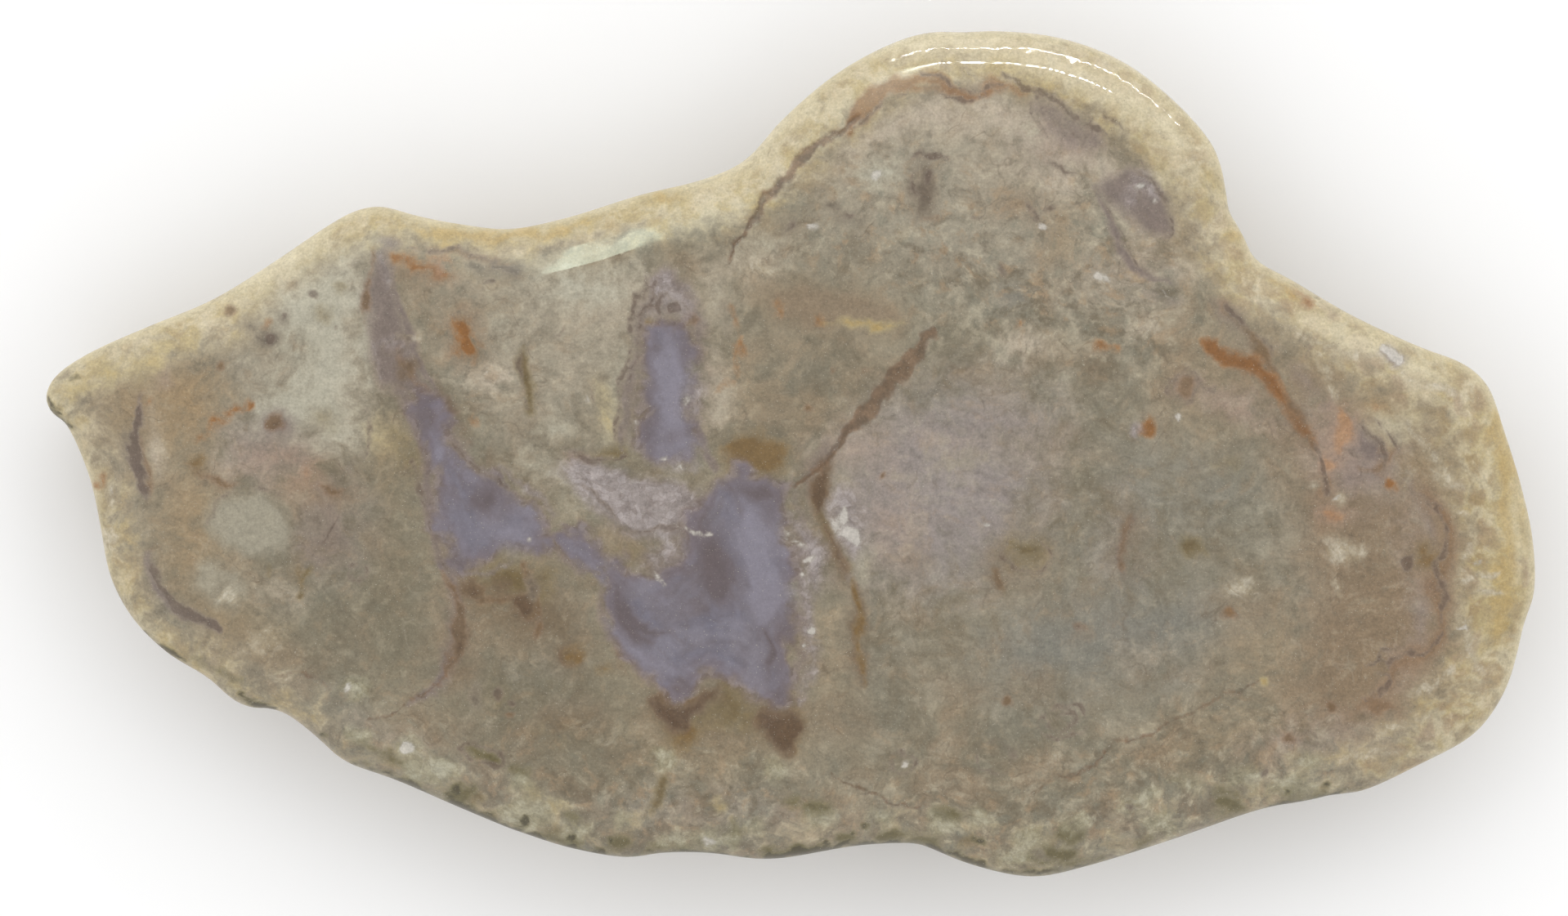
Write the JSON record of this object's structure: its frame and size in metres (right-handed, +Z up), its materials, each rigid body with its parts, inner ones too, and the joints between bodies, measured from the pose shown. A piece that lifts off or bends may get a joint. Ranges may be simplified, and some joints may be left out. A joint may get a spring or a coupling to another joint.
{
  "type": "polished coprolite slab",
  "caption": "Cut and polished freeform slab of agatised dinosaur coprolite that lies on its flat sawn back.",
  "frame": {"origin": "on the surface that the slab lies on, under the middle of its bounding box", "axes": "+X along the slab's length from its pointed end to its broad end, +Y across it towards the round lobe, +Z up out of the polished face"},
  "size_m": [0.1021, 0.058, 0.012],
  "materials": {
    "coprolite_stone": "polished"
  },
  "bodies": {
    "root": {"coprolite": "coprolite_stone"}
  },
  "joints": []
}
